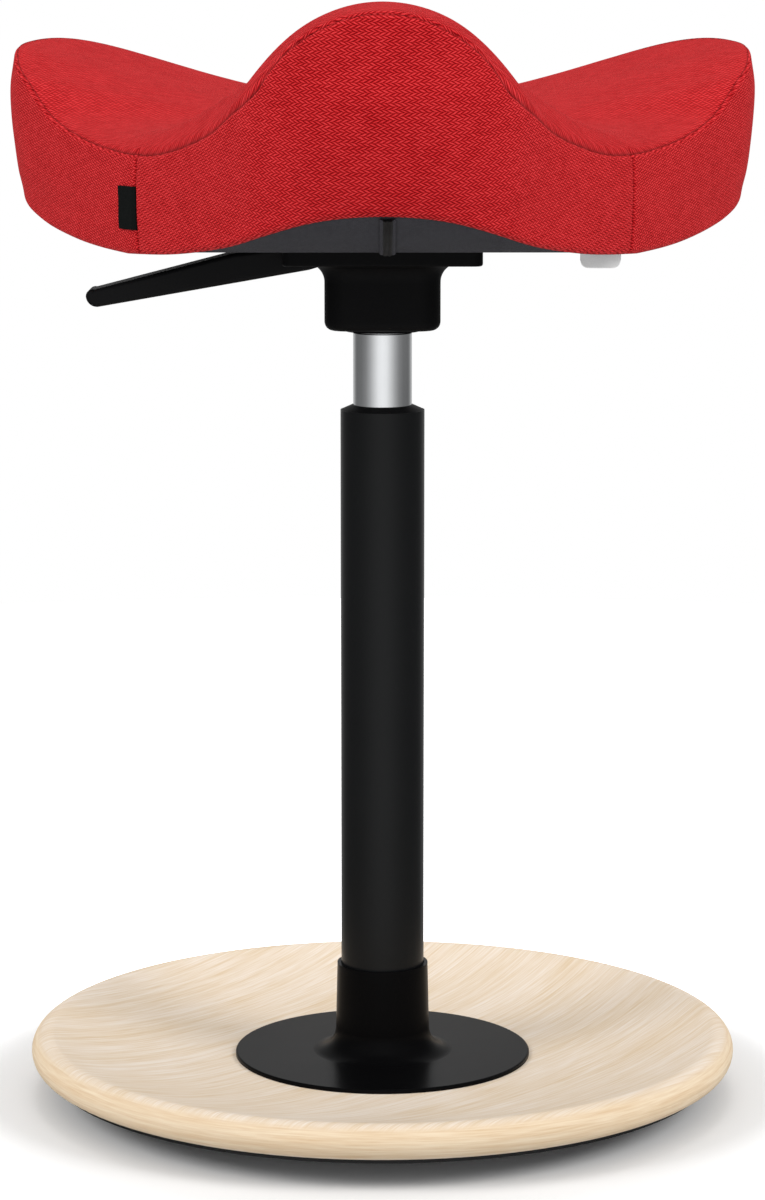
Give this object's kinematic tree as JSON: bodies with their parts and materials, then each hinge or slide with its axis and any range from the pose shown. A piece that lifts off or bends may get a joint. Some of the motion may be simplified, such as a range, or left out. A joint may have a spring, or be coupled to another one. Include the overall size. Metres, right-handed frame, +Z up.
{
  "type": "saddle stool",
  "caption": "Height-adjustable saddle stool with a three-lobed padded seat on a gas column, a release lever and a dished round rocking base.",
  "frame": {"origin": "on the floor under the column's axis, at the middle of the base's flat foot", "axes": "+Z up along the column, -Y towards the seat's high front lobe, +X to the right seen from the front"},
  "size_m": [0.3878, 0.3951, 0.5636],
  "materials": {
    "plywood": "pale whitewashed ash veneer, satin lacquer",
    "tread_rubber": "matt",
    "black_steel": "fine satin black powder coat",
    "zinc_steel": "zinc plated",
    "bright_steel": "ground",
    "chrome_tube": "satin chrome",
    "black_plastic": "matt moulded",
    "inner_rubber": "matt",
    "hub_casting": "matt black coat",
    "inner_aluminium": "turned",
    "shell_board": "raw moulded plywood",
    "foam": "moulded foam",
    "red_fabric": "coarse red herringbone weave",
    "grey_fabric": "dark grey plain weave",
    "black_ribbon": "woven black tab, blank",
    "white_ribbon": "non-woven white label, blank"
  },
  "bodies": {
    "base": {"base_disc": "plywood", "base_tread": "tread_rubber", "base_flange": "black_steel", "flange_nuts": "zinc_steel", "base_screws": "zinc_steel", "column_tube": "black_steel", "column_end_plate": "black_steel", "guide_bush": "black_plastic", "lower_race": "bright_steel"},
    "swivel": {"thrust_balls": "bright_steel", "ball_cage": "black_plastic", "upper_race": "bright_steel", "bump_stop": "inner_rubber", "piston_rod": "bright_steel", "piston": "inner_aluminium", "piston_seal": "inner_rubber", "rod_washer": "zinc_steel", "rod_clip": "bright_steel"},
    "seat": {"gas_cylinder": "chrome_tube", "pressure_tube": "bright_steel", "rod_guide": "inner_aluminium", "rod_seal": "inner_rubber", "valve_body": "inner_aluminium", "seat_hub": "hub_casting", "lever_pin": "bright_steel", "hub_bolts": "zinc_steel", "tee_nuts": "zinc_steel", "seat_shell": "shell_board", "seat_foam": "foam", "top_panel": "red_fabric", "front_panel": "red_fabric", "left_panel": "red_fabric", "right_panel": "red_fabric", "under_cover": "grey_fabric", "under_zip": "grey_fabric", "fabric_tab": "black_ribbon", "care_label": "white_ribbon"},
    "lever": {"release_lever": "black_plastic"},
    "valve_pin": {"release_pin": "bright_steel"}
  },
  "joints": [
    {"name": "seat_swivel", "type": "hinge", "parent": "base", "child": "swivel", "pos_m": [0, 0, 0.0262], "axis": [0, 0, 1], "continuous": true},
    {"name": "seat_height", "type": "slide", "parent": "swivel", "child": "seat", "axis": [0, 0, 1], "range_m": [-0.02, 0.225]},
    {"name": "lever_pull", "type": "hinge", "parent": "seat", "child": "lever", "pos_m": [-0.043, 0, 0.4373], "axis": [0, 1, 0], "range_deg": [0, 5], "stiffness_Nm_per_rad": 6, "springref_deg": -5.73},
    {"name": "valve_press", "type": "slide", "parent": "seat", "child": "valve_pin", "axis": [0, 0, -1], "range_m": [0, 0.0041]}
  ],
  "couplings": [
    {"joint": "valve_press", "follows": "lever_pull", "m_per_rad": 0.046}
  ]
}
